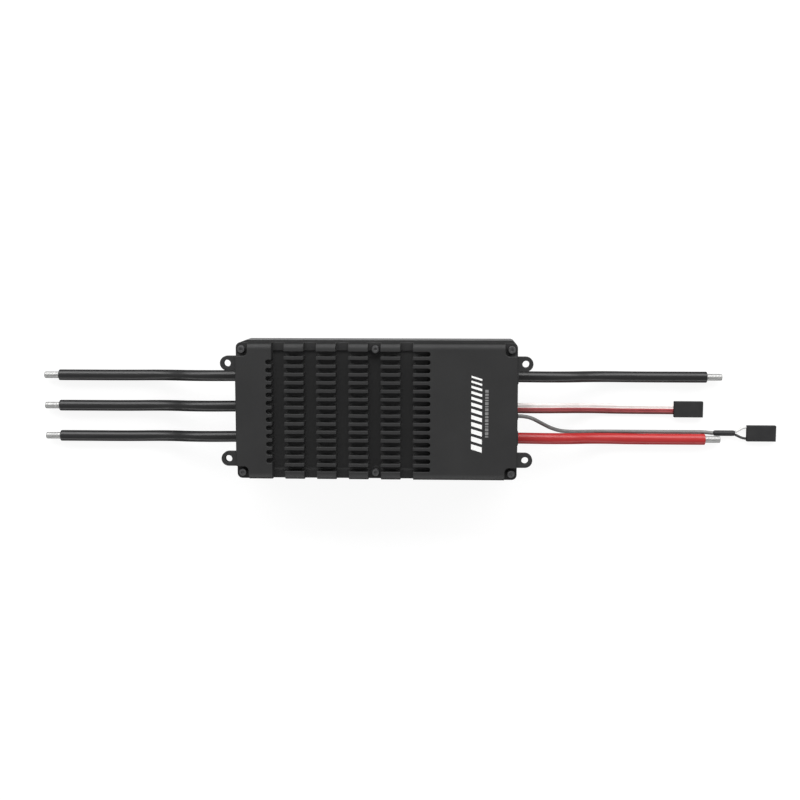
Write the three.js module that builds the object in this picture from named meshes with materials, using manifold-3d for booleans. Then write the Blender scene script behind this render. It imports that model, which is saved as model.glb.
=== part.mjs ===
// Electronic speed controller for a large brushless motor: a two-part metal case with a finned
// top, four mounting lugs, five free power leads, a flat signal lead and a round data cable.
// Millimetres, +Z up. Origin: centre of the case's underside. +X: battery end, -X: motor end.

import * as THREE from 'three';
import { mergeVertices } from 'three/addons/utils/BufferGeometryUtils.js';
import Module from 'manifold-3d';

const wasm = await Module();
wasm.setup();

// ---------------------------------------------------------------- driving dimensions

const GAP = 0.3; // clearance between pieces that touch on the real object
const OVER = 5; // how far a cutting block runs past the face it cuts

// case
const LENGTH = 137.5;
const WIDTH = 67.2;
const HEIGHT = 38;
const SPLIT_Z = 16; // parting plane between the lower case and the heatsink cover
const CORNER_RADIUS = 2.5; // upright corners
const EDGE_RADIUS = 3.2; // long top edges
const END_RADIUS = 1.2; // short top edges
const FOOT_CHAMFER = 0.8;
const WALL = 3.2;
const FLOOR = 2.5;
const INNER_RADIUS = 1.5; // upright corners of the room inside

// fins: straight slots along X, cut across by wider channels
const FIN_PITCH = 4.035;
const SLOT_WIDTH = 2.4;
const SLOT_COUNT = 15;
const SLOT_END_RADIUS = 1.1;
const SLOT_LEFT = -53.7;
const SLOT_RIGHT = 26.5;
const FIN_DEPTH = 7;
const CHANNEL_WIDTH = 6.1;
const CHANNEL_PITCH = 15.7;
const CHANNEL_COUNT = 5;
const FIRST_CHANNEL_X = -47.8;
const NOTCH_DEPTH = 6; // where a channel runs out through the side rail

// mounting lugs
const LUG_X = 72.5;
const LUG_Y = 23.5;
const LUG_RADIUS = 3.6;
const LUG_HOLE_RADIUS = 1.7;
const LUG_THICKNESS = 3;
const LUG_DROP = 1.2; // the lugs' top sits this far below the finned face

// cover screws, M2 cap head
const SCREW_X = 65.8;
const SCREW_Y = 30.3;
const MIDDLE_SCREW_X = -0.4;
const SCREW_RADIUS = 1;
const HEAD_RADIUS = 1.9;
const HEAD_HEIGHT = 2;
const HEX_RADIUS = 0.87;
const POCKET_DEPTH = 4;
const POCKET_HALF = 3.2;
const POCKET_CORNER = 2.2;
const SCREW_LENGTH = 24;
const HOLE_RADIUS = SCREW_RADIUS + GAP;
const BOSS_RADIUS = 3.3;
const COVER_BOSS_RADIUS = 4.7;
const MIDDLE_BOSS_RADIUS = 2.7; // stands in the middle channel and carries the middle screw

// sealing: a flat gasket between the two halves, and a rubber block in a window of each end wall
const GASKET_THICKNESS = 0.6;
const WINDOW_HALF = 21;
const WINDOW_LOW = SPLIT_Z - 5;
const WINDOW_HIGH = SPLIT_Z + 5;
const COLLAR_LENGTH = 1.4;
const COLLAR_BASE = 1.6; // the collar's wall where it meets the block
const COLLAR_LIP = 0.9; // and at its outer end
const FLANGE = { thickness: 1.5, sideways: 1.2, down: 0.9, up: 0.4 };

// power leads
const LEAD_RADIUS = 2.8;
const TIP_RADIUS = 1.7;
const TIP_LENGTH = 7.4;
const LEAD_PITCH = 15.5;
const LEAD_STEPS = 9;

// signal lead: three strands side by side
const RIBBON_WIDTH = 5.2;
const RIBBON_THICKNESS = 1.7;
const RIBBON_Y = -0.3;
const RIBBON_BEVEL = { across: 0.7, through: 0.25 };

// data cable
const CABLE_RADIUS = 0.95;
const CABLE_Y = -4.3;
const SLEEVE_RADIUS = 1.45;
const WIRE_RADIUS = 0.65;

// plugs
const PLUG_LENGTH = 14.6;
const PLUG_WIDTH = 8.1;
const PLUG_HEIGHT = 2.7;
const SIGNAL_PLUG_X = 150.2;
const SIGNAL_PLUG_Y = -2.25;
const DATA_PLUG_X = 187.35;
const DATA_PLUG_Y = -14.45;
const CONTACT_PITCH = 2.54;
const MOUTH_HALF = 0.5;
const MOUTH_DEPTH = 4;

// circuit boards
const BOARD_LOW = SPLIT_Z - 4.7;
const BOARD_THICKNESS = 1.6;
const BOARD_TOP = BOARD_LOW + BOARD_THICKNESS;
const BOARD_HALF_LENGTH = 61;
const BOARD_HALF_WIDTH = 25.6;
const STANDOFF_X = 57.5;
const STANDOFF_Y = 22.6;
const STANDOFF_RADIUS = 2.8;
const BOARD_SCREW = { headRadius: 1.8, headHeight: 1.4, tip: FLOOR + 1.5 };
const CONTROL_BOARD = { left: 4, right: 46, halfWidth: 10.5, low: 4.2, thickness: 1.2 };

// room inside the cover
const PEDESTAL_Z = SPLIT_Z + 1.1; // the heat spreader's underside
const LEFT_ROOF = 21.5;
const RIGHT_ROOF = HEIGHT - 3;
const PEDESTAL_LEFT = -52;
const PEDESTAL_RIGHT = 28.5;

// power electronics: three phases of switches, then the input capacitors
const MOSFET = { length: 10, width: 11.7, height: 2.3, y: 12 };
const PHASE_X = [-36, -12, 12];
const THERMAL_PAD = { left: -46, right: 24, halfWidth: 21 };
const BUS_BAR = { left: -46, right: 56, inner: 12, outer: 17.6, thickness: 2 };
const CAPACITOR = { radius: 6.2, height: 20, crimpLow: 1.6, crimpHigh: 2.6, crimpDepth: 0.4 };
const CAPACITOR_X = [36, 49.2];
const CAPACITOR_Y = [-17, 0, 17];
const TERMINAL = { length: 5.5, halfWidth: 3.6, top: SPLIT_Z + 2.4 };
const SIGNAL_CONNECTOR = { left: 56.2, right: 61.2, front: -6, back: 3, top: SPLIT_Z + 1.6 };
const MICROCONTROLLER = { left: 24, right: 31, halfWidth: 3.5, height: 1.2 };
const BOARD_HEADER = { left: 7, right: 9.5, halfWidth: 9 };

const END = LENGTH / 2;
const SIDE = WIDTH / 2;
const COVER_BOTTOM = SPLIT_Z + GASKET_THICKNESS / 2 + GAP;
const CASE_TOP = SPLIT_Z - GASKET_THICKNESS / 2 - GAP;
const FIN_FLOOR = HEIGHT - FIN_DEPTH;
const NOTCH_FLOOR = HEIGHT - NOTCH_DEPTH;
const POCKET_FLOOR = HEIGHT - POCKET_DEPTH;
const ABOVE = HEIGHT + OVER;

// ---------------------------------------------------------------- cord routes

// One power lead, as [distance out from the end wall, height, share of its sideways drift]:
// straight out, down to the surface in an easy S, then along it.
const LEAD_ROUTE = [
  [-7, 16, 0],
  [-3, 16, 0],
  [0, 16, 0],
  [5, 16, 0.01],
  [10, 16, 0.04],
  [15, 15.7, 0.09],
  [20, 14.8, 0.16],
  [25, 13.3, 0.26],
  [30, 11.1, 0.39],
  [33, 9.4, 0.48],
  [36, 7.7, 0.57],
  [41, 5.5, 0.7],
  [46, 4, 0.81],
  [51, 3.1, 0.9],
  [56, 2.85, 0.96],
  [66, 2.85, 1],
  [76, 2.85, 1],
  [87, 2.85, 1],
];

const BLACK = 0x202022;
const RED = 0xb02c2a;

// y at the wall, y on the surface, and length along X outside the wall
const LEADS = [
  { name: 'motor_lead_back', end: -1, exitY: LEAD_PITCH, restY: 14.3, reach: 98, color: BLACK },
  { name: 'motor_lead_middle', end: -1, exitY: 0, restY: -1.6, reach: 98.1, color: BLACK },
  { name: 'motor_lead_front', end: -1, exitY: -LEAD_PITCH, restY: -17.5, reach: 98.1, color: BLACK },
  { name: 'battery_lead_negative', end: 1, exitY: LEAD_PITCH, restY: 14.4, reach: 97.2, color: BLACK },
  { name: 'battery_lead_positive', end: 1, exitY: -LEAD_PITCH, restY: -17.5, reach: 97.2, color: RED },
];

const RIBBON_ROUTE = [
  [61.5, -0.3, 16],
  [65, -0.3, 16],
  [69, -0.3, 16],
  [74, -0.3, 16],
  [79, -0.35, 15.6],
  [84, -0.5, 14.3],
  [89, -0.7, 12.2],
  [94, -1, 9.4],
  [99, -1.3, 6.5],
  [104, -1.6, 3.9],
  [109, -1.83, 2],
  [114, -2.02, 1.05],
  [120, -2.15, 0.9],
  [128, -2.22, 0.9],
  [136, -2.25, 0.9],
  [143.5, -2.25, 1.02],
  [149.9, -2.25, 1.35],
];

const CABLE_ROUTE = [
  [61.5, -4.3, 16],
  [65, -4.3, 16],
  [69, -4.3, 16],
  [73, -4.5, 15.95],
  [77, -5.5, 15.2],
  [81.4, -7.9, 13],
  [86.7, -10.9, 9.5],
  [91, -12.6, 7],
  [95, -13.45, 5],
  [100, -13.9, 2.8],
  [106, -14, 1.4],
  [112, -13.98, 1],
  [118, -13.95, 0.97],
  [126, -13.95, 0.97],
  [134, -13.95, 0.97],
  [142, -13.95, 0.97],
  [150, -13.95, 0.97],
  [158, -13.95, 0.97],
  [165.5, -13.98, 1.05],
  [170.3, -14.4, 1.5],
];

const SLEEVE_ROUTE = [
  [170.6, -14.4, 1.5],
  [181.4, -14.4, 1.5],
];
const UPPER_WIRE_ROUTE = [
  [181.7, -13.6, 1.45],
  [183.3, -12.8, 1.4],
  [185.2, -11.7, 1.35],
  [187.05, -11.25, 1.35],
];
const LOWER_WIRE_ROUTE = [
  [181.7, -15.2, 1.45],
  [183.3, -16, 1.4],
  [185.2, -16.8, 1.35],
  [187.05, -17.15, 1.35],
];

// ---------------------------------------------------------------- solids and cuts

function solidOf(geometry) {
  const bare = geometry.clone();
  bare.deleteAttribute('normal');
  bare.deleteAttribute('uv');
  const merged = mergeVertices(bare, 1e-4);
  return new wasm.Manifold(new wasm.Mesh({
    numProp: 3,
    vertProperties: new Float32Array(merged.attributes.position.array),
    triVerts: new Uint32Array(merged.index.array),
  }));
}

function geometryOf(solid) {
  const mesh = solid.getMesh();
  const geometry = new THREE.BufferGeometry();
  geometry.setAttribute('position', new THREE.BufferAttribute(mesh.vertProperties, 3));
  geometry.setIndex(new THREE.BufferAttribute(mesh.triVerts, 1));
  geometry.computeVertexNormals();
  return geometry;
}

function joined(solids) {
  return solids.reduce((sum, solid) => sum.add(solid));
}

function box(x0, x1, y0, y1, z0, z1) {
  const geometry = new THREE.BoxGeometry(x1 - x0, y1 - y0, z1 - z0);
  geometry.translate((x0 + x1) / 2, (y0 + y1) / 2, (z0 + z1) / 2);
  return solidOf(geometry);
}

function roundedRect(x0, x1, y0, y1, radius) {
  const shape = new THREE.Shape();
  shape.absarc(x1 - radius, y0 + radius, radius, -Math.PI / 2, 0);
  shape.absarc(x1 - radius, y1 - radius, radius, 0, Math.PI / 2);
  shape.absarc(x0 + radius, y1 - radius, radius, Math.PI / 2, Math.PI);
  shape.absarc(x0 + radius, y0 + radius, radius, Math.PI, Math.PI * 1.5);
  shape.closePath();
  return shape;
}

// an outline in X and Y, raised from z0 to z1
function upright(shape, z0, z1, curveSegments = 4) {
  const geometry = new THREE.ExtrudeGeometry(shape, { depth: z1 - z0, bevelEnabled: false, curveSegments });
  geometry.translate(0, 0, z0);
  return solidOf(geometry);
}

// an outline in Y and Z, run along X from x0 to x1
function alongX(shape, x0, x1, curveSegments = 5) {
  const geometry = new THREE.ExtrudeGeometry(shape, { depth: x1 - x0, bevelEnabled: false, curveSegments });
  const turn = new THREE.Matrix4().makeBasis(
    new THREE.Vector3(0, 1, 0), new THREE.Vector3(0, 0, 1), new THREE.Vector3(1, 0, 0));
  geometry.applyMatrix4(turn);
  geometry.translate(x0, 0, 0);
  return solidOf(geometry);
}

// an outline in X and Z, run along Y from -half to half
function alongY(shape, half, curveSegments = 4) {
  const geometry = new THREE.ExtrudeGeometry(shape, { depth: 2 * half, bevelEnabled: false, curveSegments });
  const turn = new THREE.Matrix4().makeBasis(
    new THREE.Vector3(1, 0, 0), new THREE.Vector3(0, 0, 1), new THREE.Vector3(0, -1, 0));
  geometry.applyMatrix4(turn);
  geometry.translate(0, half, 0);
  return solidOf(geometry);
}

function post(x, y, z0, z1, radius, sides = 16) {
  const geometry = new THREE.CylinderGeometry(radius, radius, z1 - z0, sides);
  geometry.rotateX(Math.PI / 2);
  geometry.translate(x, y, (z0 + z1) / 2);
  return solidOf(geometry);
}

function barX(x0, x1, y, z, radius0, radius1 = radius0, sides = 16) {
  const geometry = new THREE.CylinderGeometry(radius1, radius0, x1 - x0, sides);
  geometry.rotateZ(-Math.PI / 2);
  geometry.translate((x0 + x1) / 2, y, z);
  return solidOf(geometry);
}

// ---------------------------------------------------------------- the group and its nodes

const FINISHES = {
  anodised: { color: 0x3a3a3b, roughness: 0.55, metalness: 0.5 },
  greyAnodised: { color: 0x5d5d5e, roughness: 0.5, metalness: 0.5 },
  screw: { color: 0x55565a, roughness: 0.4, metalness: 0.9 },
  rubber: { color: 0x1c1c1e, roughness: 0.8, metalness: 0 },
  laminate: { color: 0x14402a, roughness: 0.5, metalness: 0 },
  copper: { color: 0xb4693a, roughness: 0.35, metalness: 1 },
  pad: { color: 0x8c98a4, roughness: 0.9, metalness: 0 },
  package: { color: 0x18181a, roughness: 0.6, metalness: 0 },
  can: { color: 0x24242c, roughness: 0.4, metalness: 0.1 },
  nylon: { color: 0xe4e0d0, roughness: 0.6, metalness: 0 },
  tinned: { color: 0xc8c8c8, roughness: 0.35, metalness: 0.9 },
  ribbon: { color: 0x8c3a3a, roughness: 0.5, metalness: 0 },
  cable: { color: 0x6e6e6c, roughness: 0.6, metalness: 0 },
  shrink: { color: 0x1c1c1e, roughness: 0.5, metalness: 0 },
  plug: { color: 0x262628, roughness: 0.55, metalness: 0 },
  whiteWire: { color: 0xd8d8d4, roughness: 0.5, metalness: 0 },
  blackWire: { color: 0x202022, roughness: 0.5, metalness: 0 },
};

const controller = new THREE.Group();

function addGeometry(name, geometry, finish) {
  const mesh = new THREE.Mesh(geometry, new THREE.MeshStandardMaterial(finish));
  mesh.name = name;
  controller.add(mesh);
  return mesh;
}

function add(name, solid, finish) {
  return addGeometry(name, geometryOf(solid), finish);
}

// ---------------------------------------------------------------- the case

const CORNERS = [[-1, -1], [-1, 1], [1, -1], [1, 1]];

const COVER_SCREWS = [
  ...CORNERS.map(([sx, sy]) => ({ x: sx * SCREW_X, y: sy * SCREW_Y, seat: POCKET_FLOOR })),
  { x: MIDDLE_SCREW_X, y: -SCREW_Y, seat: NOTCH_FLOOR },
  { x: MIDDLE_SCREW_X, y: SCREW_Y, seat: NOTCH_FLOOR },
];

// the low, high pair of two values in either order
function span(a, b) {
  return [Math.min(a, b), Math.max(a, b)];
}

// the openings in both end walls that the rubber blocks fill
function sealWindows() {
  const slot = box(-END - OVER, END + OVER, -WINDOW_HALF, WINDOW_HALF, WINDOW_LOW, WINDOW_HIGH);
  const room = box(-END + WALL + 1, END - WALL - 1, -SIDE, SIDE, 0, HEIGHT);
  return slot.subtract(room);
}

// the case's outline and the room inside it, raised from z0 to z1
function outline(z0, z1) {
  return upright(roundedRect(-END, END, -SIDE, SIDE, CORNER_RADIUS), z0, z1, 6);
}

function inside(z0, z1) {
  return upright(roundedRect(-END + WALL, END - WALL, -SIDE + WALL, SIDE - WALL, INNER_RADIUS), z0, z1);
}

// a post at each cover screw, or at each standoff of the power board
function coverScrewPosts(z0, z1, radius, sides) {
  return joined(COVER_SCREWS.map(({ x, y }) => post(x, y, z0, z1, radius, sides)));
}

function standoffPosts(z0, z1, radius, sides) {
  return joined(CORNERS.map(([sx, sy]) => post(sx * STANDOFF_X, sy * STANDOFF_Y, z0, z1, radius, sides)));
}

function bottomSection() {
  const shape = new THREE.Shape();
  shape.moveTo(-SIDE + FOOT_CHAMFER, 0);
  shape.lineTo(SIDE - FOOT_CHAMFER, 0);
  shape.lineTo(SIDE, FOOT_CHAMFER);
  shape.lineTo(SIDE, CASE_TOP);
  shape.lineTo(-SIDE, CASE_TOP);
  shape.lineTo(-SIDE, FOOT_CHAMFER);
  shape.closePath();
  return shape;
}

function lowerCase() {
  const blank = outline(0, CASE_TOP).intersect(alongX(bottomSection(), -END, END));
  const cavity = inside(FLOOR, ABOVE);
  const bosses = coverScrewPosts(FLOOR, CASE_TOP, BOSS_RADIUS).intersect(blank);
  const standoffs = standoffPosts(FLOOR - GAP, BOARD_LOW - GAP, STANDOFF_RADIUS);
  const screwHoles = coverScrewPosts(FLOOR + 2, ABOVE, HOLE_RADIUS, 12);
  const boardHoles = standoffPosts(FLOOR + GAP, ABOVE, HOLE_RADIUS, 12);
  return blank.subtract(cavity).add(bosses).add(standoffs)
    .subtract(screwHoles).subtract(boardHoles).subtract(sealWindows());
}

function coverSection() {
  const shape = new THREE.Shape();
  shape.moveTo(-SIDE, COVER_BOTTOM);
  shape.lineTo(SIDE, COVER_BOTTOM);
  shape.absarc(SIDE - EDGE_RADIUS, HEIGHT - EDGE_RADIUS, EDGE_RADIUS, 0, Math.PI / 2);
  shape.absarc(-SIDE + EDGE_RADIUS, HEIGHT - EDGE_RADIUS, EDGE_RADIUS, Math.PI / 2, Math.PI);
  shape.closePath();
  return shape;
}

function coverProfile() {
  const shape = new THREE.Shape();
  shape.moveTo(-END, COVER_BOTTOM);
  shape.lineTo(END, COVER_BOTTOM);
  shape.absarc(END - END_RADIUS, HEIGHT - END_RADIUS, END_RADIUS, 0, Math.PI / 2);
  shape.absarc(-END + END_RADIUS, HEIGHT - END_RADIUS, END_RADIUS, Math.PI / 2, Math.PI);
  shape.closePath();
  return shape;
}

function lug(sx, sy) {
  const top = HEIGHT - LUG_DROP;
  const low = top - LUG_THICKNESS;
  const y = sy * LUG_Y;
  const arm = box(...span(sx * (END - 2), sx * LUG_X), y - LUG_RADIUS, y + LUG_RADIUS, low, top);
  return arm.add(post(sx * LUG_X, y, low, top, LUG_RADIUS, 40));
}

function channelX(index) {
  return FIRST_CHANNEL_X + index * CHANNEL_PITCH;
}

function channelSpan(index) {
  return [channelX(index) - CHANNEL_WIDTH / 2, channelX(index) + CHANNEL_WIDTH / 2];
}

function finSlots() {
  const slots = [];
  const last = (SLOT_COUNT - 1) / 2;
  const half = SLOT_WIDTH / 2;
  for (let row = -last; row <= last; row += 1) {
    // the two outermost slots begin in the first channel, the others reach the left panel
    const x0 = Math.abs(row) === last ? channelX(0) : SLOT_LEFT;
    const y = row * FIN_PITCH;
    slots.push(upright(
      roundedRect(x0, SLOT_RIGHT, y - half, y + half, SLOT_END_RADIUS), FIN_FLOOR, ABOVE, 3));
  }
  return joined(slots);
}

function crossChannels() {
  const cuts = [];
  const inner = ((SLOT_COUNT - 1) / 2) * FIN_PITCH + SLOT_WIDTH / 2;
  for (let index = 0; index < CHANNEL_COUNT; index += 1) {
    cuts.push(box(...channelSpan(index), -inner, inner, FIN_FLOOR, ABOVE));
  }
  return joined(cuts);
}

function railNotches() {
  const cuts = [];
  const inner = SCREW_Y - POCKET_HALF;
  for (let index = 0; index < CHANNEL_COUNT; index += 1) {
    cuts.push(box(...channelSpan(index), inner, SIDE + OVER, NOTCH_FLOOR, ABOVE));
    cuts.push(box(...channelSpan(index), -SIDE - OVER, -inner, NOTCH_FLOOR, ABOVE));
  }
  return joined(cuts);
}

function cornerPockets() {
  return joined(CORNERS.map(([sx, sy]) => {
    const xs = span(sx * (SCREW_X - POCKET_HALF), sx * (END + OVER));
    const ys = span(sy * (SCREW_Y - POCKET_HALF), sy * (SIDE + OVER));
    return upright(roundedRect(...xs, ...ys, POCKET_CORNER), POCKET_FLOOR, ABOVE);
  }));
}

// the room under the fins: shallow over the switches, deep over the capacitors
function coverRoom() {
  const wallX = END - WALL;
  const wallY = SIDE - WALL;
  const low = SPLIT_Z - OVER;
  const room = joined([
    box(-wallX, PEDESTAL_LEFT, -wallY, wallY, low, LEFT_ROOF),
    box(PEDESTAL_LEFT - 1, PEDESTAL_RIGHT + 1, -wallY, wallY, low, PEDESTAL_Z),
    box(PEDESTAL_RIGHT, wallX, -wallY, wallY, low, RIGHT_ROOF),
  ]);
  return room.subtract(coverScrewPosts(low, HEIGHT, COVER_BOSS_RADIUS));
}

function heatsinkCover() {
  const blank = outline(COVER_BOTTOM, HEIGHT)
    .intersect(alongX(coverSection(), -END, END))
    .intersect(alongY(coverProfile(), SIDE));
  const middleBosses = joined([-1, 1].map((sy) => post(
    MIDDLE_SCREW_X, sy * SCREW_Y, FIN_FLOOR - 1, NOTCH_FLOOR, MIDDLE_BOSS_RADIUS)));
  const finned = blank.subtract(finSlots().add(crossChannels()).subtract(middleBosses))
    .subtract(railNotches()).subtract(cornerPockets());
  const lugs = joined(CORNERS.map(([sx, sy]) => lug(sx, sy)));
  const lugHoles = joined(CORNERS.map(([sx, sy]) => post(
    sx * LUG_X, sy * LUG_Y, SPLIT_Z, ABOVE, LUG_HOLE_RADIUS, 32)));
  return finned.add(lugs).subtract(lugHoles)
    .subtract(coverScrewPosts(SPLIT_Z - 1, ABOVE, HOLE_RADIUS, 12))
    .subtract(coverRoom()).subtract(sealWindows());
}

add('lower_case', lowerCase(), FINISHES.greyAnodised);
add('heatsink_cover', heatsinkCover(), FINISHES.anodised);

// ---------------------------------------------------------------- seals

// one half of the flat gasket: it follows the rim from one end's rubber block to the other's
function gasket(side) {
  const low = SPLIT_Z - GASKET_THICKNESS / 2;
  const high = SPLIT_Z + GASKET_THICKNESS / 2;
  const rim = outline(low, high).subtract(inside(low - 1, high + 1));
  const eyes = coverScrewPosts(low, high, BOSS_RADIUS).intersect(outline(low, high));
  const holes = coverScrewPosts(low - 1, high + 1, HOLE_RADIUS, 12);
  const half = box(-END, END, ...span(side * (WINDOW_HALF + GAP), side * SIDE), 0, HEIGHT);
  return rim.add(eyes).subtract(holes).intersect(half);
}

// a collar around one round hole of a rubber block, narrowing outward
function collar(end, y, radius) {
  const base = radius + COLLAR_BASE;
  const lip = radius + COLLAR_LIP;
  return end > 0
    ? barX(END - GAP, END + COLLAR_LENGTH, y, SPLIT_Z, base, lip, 20)
    : barX(-END - COLLAR_LENGTH, -END + GAP, y, SPLIT_Z, lip, base, 20);
}

// a rubber block that fills one end wall's window, with a flange inside and a collar at each lead
function leadSeal(end, roundHoles, flatHole) {
  const low = WINDOW_LOW + GAP;
  const high = WINDOW_HIGH - GAP;
  const half = WINDOW_HALF - GAP;
  const innerX = END - WALL - GAP;
  const through = span(end * (innerX - OVER), end * (END + OVER));
  const block = box(...span(end * (innerX - 1), end * END), -half, half, low, high);
  const flange = box(
    ...span(end * (innerX - FLANGE.thickness), end * innerX),
    -half - FLANGE.sideways, half + FLANGE.sideways, low - FLANGE.down, high + FLANGE.up);
  const collars = roundHoles.map(({ y, radius }) => collar(end, y, radius));
  const holes = roundHoles.map(({ y, radius }) => barX(...through, y, SPLIT_Z, radius + GAP));
  if (flatHole) {
    const halfWidth = flatHole.width / 2 + GAP;
    const halfHeight = flatHole.thickness / 2 + GAP;
    holes.push(box(
      ...through, flatHole.y - halfWidth, flatHole.y + halfWidth,
      SPLIT_Z - halfHeight, SPLIT_Z + halfHeight));
  }
  return joined([block, flange, ...collars]).subtract(joined(holes));
}

function leadHoles(side) {
  return LEADS.filter(({ end }) => end === side).map(({ exitY }) => ({ y: exitY, radius: LEAD_RADIUS }));
}

const CABLE_HOLE = { y: CABLE_Y, radius: CABLE_RADIUS };
const RIBBON_HOLE = { y: RIBBON_Y, width: RIBBON_WIDTH, thickness: RIBBON_THICKNESS };

add('motor_lead_seal', leadSeal(-1, leadHoles(-1), null), FINISHES.rubber);
add('battery_lead_seal', leadSeal(1, [...leadHoles(1), CABLE_HOLE], RIBBON_HOLE), FINISHES.rubber);
add('gasket_back', gasket(1), FINISHES.rubber);
add('gasket_front', gasket(-1), FINISHES.rubber);

// ---------------------------------------------------------------- screws

// a cap-head screw with a hexagon socket, pointing down from its seat
function capScrew(x, y, seat, length) {
  const under = seat + GAP;
  const top = under + HEAD_HEIGHT;
  const head = post(x, y, under, top, HEAD_RADIUS, 20);
  const shank = post(x, y, under - length, under + GAP, SCREW_RADIUS, 10);
  const socket = post(x, y, top - 1, top + 1, HEX_RADIUS, 6);
  return head.add(shank).subtract(socket);
}

const SCREW_NAMES = [
  'cover_screw_left_front', 'cover_screw_left_back', 'cover_screw_right_front',
  'cover_screw_right_back', 'cover_screw_middle_front', 'cover_screw_middle_back',
];
COVER_SCREWS.forEach(({ x, y, seat }, index) => {
  add(SCREW_NAMES[index], capScrew(x, y, seat, SCREW_LENGTH), FINISHES.screw);
});

// ---------------------------------------------------------------- electronics

const PART_LOW = BOARD_TOP + GAP; // where the parts on the power board start

function powerBoard() {
  const board = upright(
    roundedRect(-BOARD_HALF_LENGTH, BOARD_HALF_LENGTH, -BOARD_HALF_WIDTH, BOARD_HALF_WIDTH, INNER_RADIUS),
    BOARD_LOW, BOARD_TOP);
  return board.subtract(standoffPosts(BOARD_LOW - 1, BOARD_TOP + 1, HOLE_RADIUS, 12));
}

function boardScrew(x, y) {
  const head = post(x, y, PART_LOW, PART_LOW + BOARD_SCREW.headHeight, BOARD_SCREW.headRadius, 14);
  return head.add(post(x, y, BOARD_SCREW.tip, PART_LOW + GAP, SCREW_RADIUS, 10));
}

add('power_board', powerBoard(), FINISHES.laminate);
CORNERS.forEach(([sx, sy], index) => {
  add(`board_screw_${index + 1}`, boardScrew(sx * STANDOFF_X, sy * STANDOFF_Y), FINISHES.screw);
});

const CHIP_TOP = PART_LOW + MOSFET.height;

function mosfet(x, y) {
  const halfLength = MOSFET.length / 2;
  const halfWidth = MOSFET.width / 2;
  return box(x - halfLength, x + halfLength, y - halfWidth, y + halfWidth, PART_LOW, CHIP_TOP);
}

PHASE_X.forEach((x, index) => {
  add(`mosfet_phase_${index + 1}_low`, mosfet(x, -MOSFET.y), FINISHES.package);
  add(`mosfet_phase_${index + 1}_high`, mosfet(x, MOSFET.y), FINISHES.package);
});

add('thermal_pad', box(
  THERMAL_PAD.left, THERMAL_PAD.right, -THERMAL_PAD.halfWidth, THERMAL_PAD.halfWidth,
  CHIP_TOP + GAP, PEDESTAL_Z - GAP), FINISHES.pad);

// the bus bars run under the power board from the battery end to the switches
function busBar(side) {
  const top = BOARD_LOW - GAP;
  return box(
    BUS_BAR.left, BUS_BAR.right, ...span(side * BUS_BAR.inner, side * BUS_BAR.outer),
    top - BUS_BAR.thickness, top);
}

add('bus_bar_positive', busBar(-1), FINISHES.copper);
add('bus_bar_negative', busBar(1), FINISHES.copper);

// a can with the crimped groove near its foot
function capacitor(x, y) {
  const { radius, height, crimpLow, crimpHigh, crimpDepth } = CAPACITOR;
  const groove = post(x, y, PART_LOW + crimpLow, PART_LOW + crimpHigh, radius + 1, 20)
    .subtract(post(x, y, PART_LOW, PART_LOW + OVER, radius - crimpDepth, 20));
  return post(x, y, PART_LOW, PART_LOW + height, radius, 20).subtract(groove);
}

CAPACITOR_X.forEach((x, column) => {
  CAPACITOR_Y.forEach((y, row) => {
    add(`input_capacitor_${column * CAPACITOR_Y.length + row + 1}`, capacitor(x, y), FINISHES.can);
  });
});

// each terminal is a copper block on the board that its lead butts against
for (const { name, end, exitY } of LEADS) {
  const outer = END + LEAD_ROUTE[0][0] - GAP;
  add(name.replace('lead', 'terminal'), box(
    ...span(end * outer, end * (outer - TERMINAL.length)),
    exitY - TERMINAL.halfWidth, exitY + TERMINAL.halfWidth, PART_LOW, TERMINAL.top), FINISHES.copper);
}

add('signal_connector', box(
  SIGNAL_CONNECTOR.left, SIGNAL_CONNECTOR.right, SIGNAL_CONNECTOR.front, SIGNAL_CONNECTOR.back,
  PART_LOW, SIGNAL_CONNECTOR.top), FINISHES.nylon);

// the control board hangs under the power board on its header
const CONTROL_TOP = CONTROL_BOARD.low + CONTROL_BOARD.thickness;

add('control_board', box(
  CONTROL_BOARD.left, CONTROL_BOARD.right, -CONTROL_BOARD.halfWidth, CONTROL_BOARD.halfWidth,
  CONTROL_BOARD.low, CONTROL_TOP), FINISHES.laminate);
add('microcontroller', box(
  MICROCONTROLLER.left, MICROCONTROLLER.right, -MICROCONTROLLER.halfWidth, MICROCONTROLLER.halfWidth,
  CONTROL_TOP + GAP, CONTROL_TOP + GAP + MICROCONTROLLER.height), FINISHES.package);
add('board_header', box(
  BOARD_HEADER.left, BOARD_HEADER.right, -BOARD_HEADER.halfWidth, BOARD_HEADER.halfWidth,
  CONTROL_TOP + GAP, BOARD_LOW - GAP), FINISHES.nylon);

// ---------------------------------------------------------------- cords

function curveThrough(points) {
  return new THREE.CatmullRomCurve3(points.map((point) => new THREE.Vector3(...point)), false, 'centripetal');
}

// a cord of the given section along a route; ExtrudeGeometry closes both ends
function cord(points, section, steps) {
  return new THREE.ExtrudeGeometry(section, {
    steps, bevelEnabled: false, extrudePath: curveThrough(points),
  });
}

// a regular polygon, so that the tube has the stated number of sides
function roundSection(radius, sides) {
  const corners = [];
  for (let index = 0; index < sides; index += 1) {
    const angle = ((index + 0.5) / sides) * 2 * Math.PI;
    corners.push(new THREE.Vector2(radius * Math.cos(angle), radius * Math.sin(angle)));
  }
  return new THREE.Shape(corners);
}

function leadPoints({ end, exitY, restY, reach }) {
  const points = LEAD_ROUTE.map(([out, z, drift]) => [end * (END + out), exitY + drift * (restY - exitY), z]);
  points.push([end * (END + reach), restY, LEAD_ROUTE.at(-1)[1]]);
  return points;
}

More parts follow.
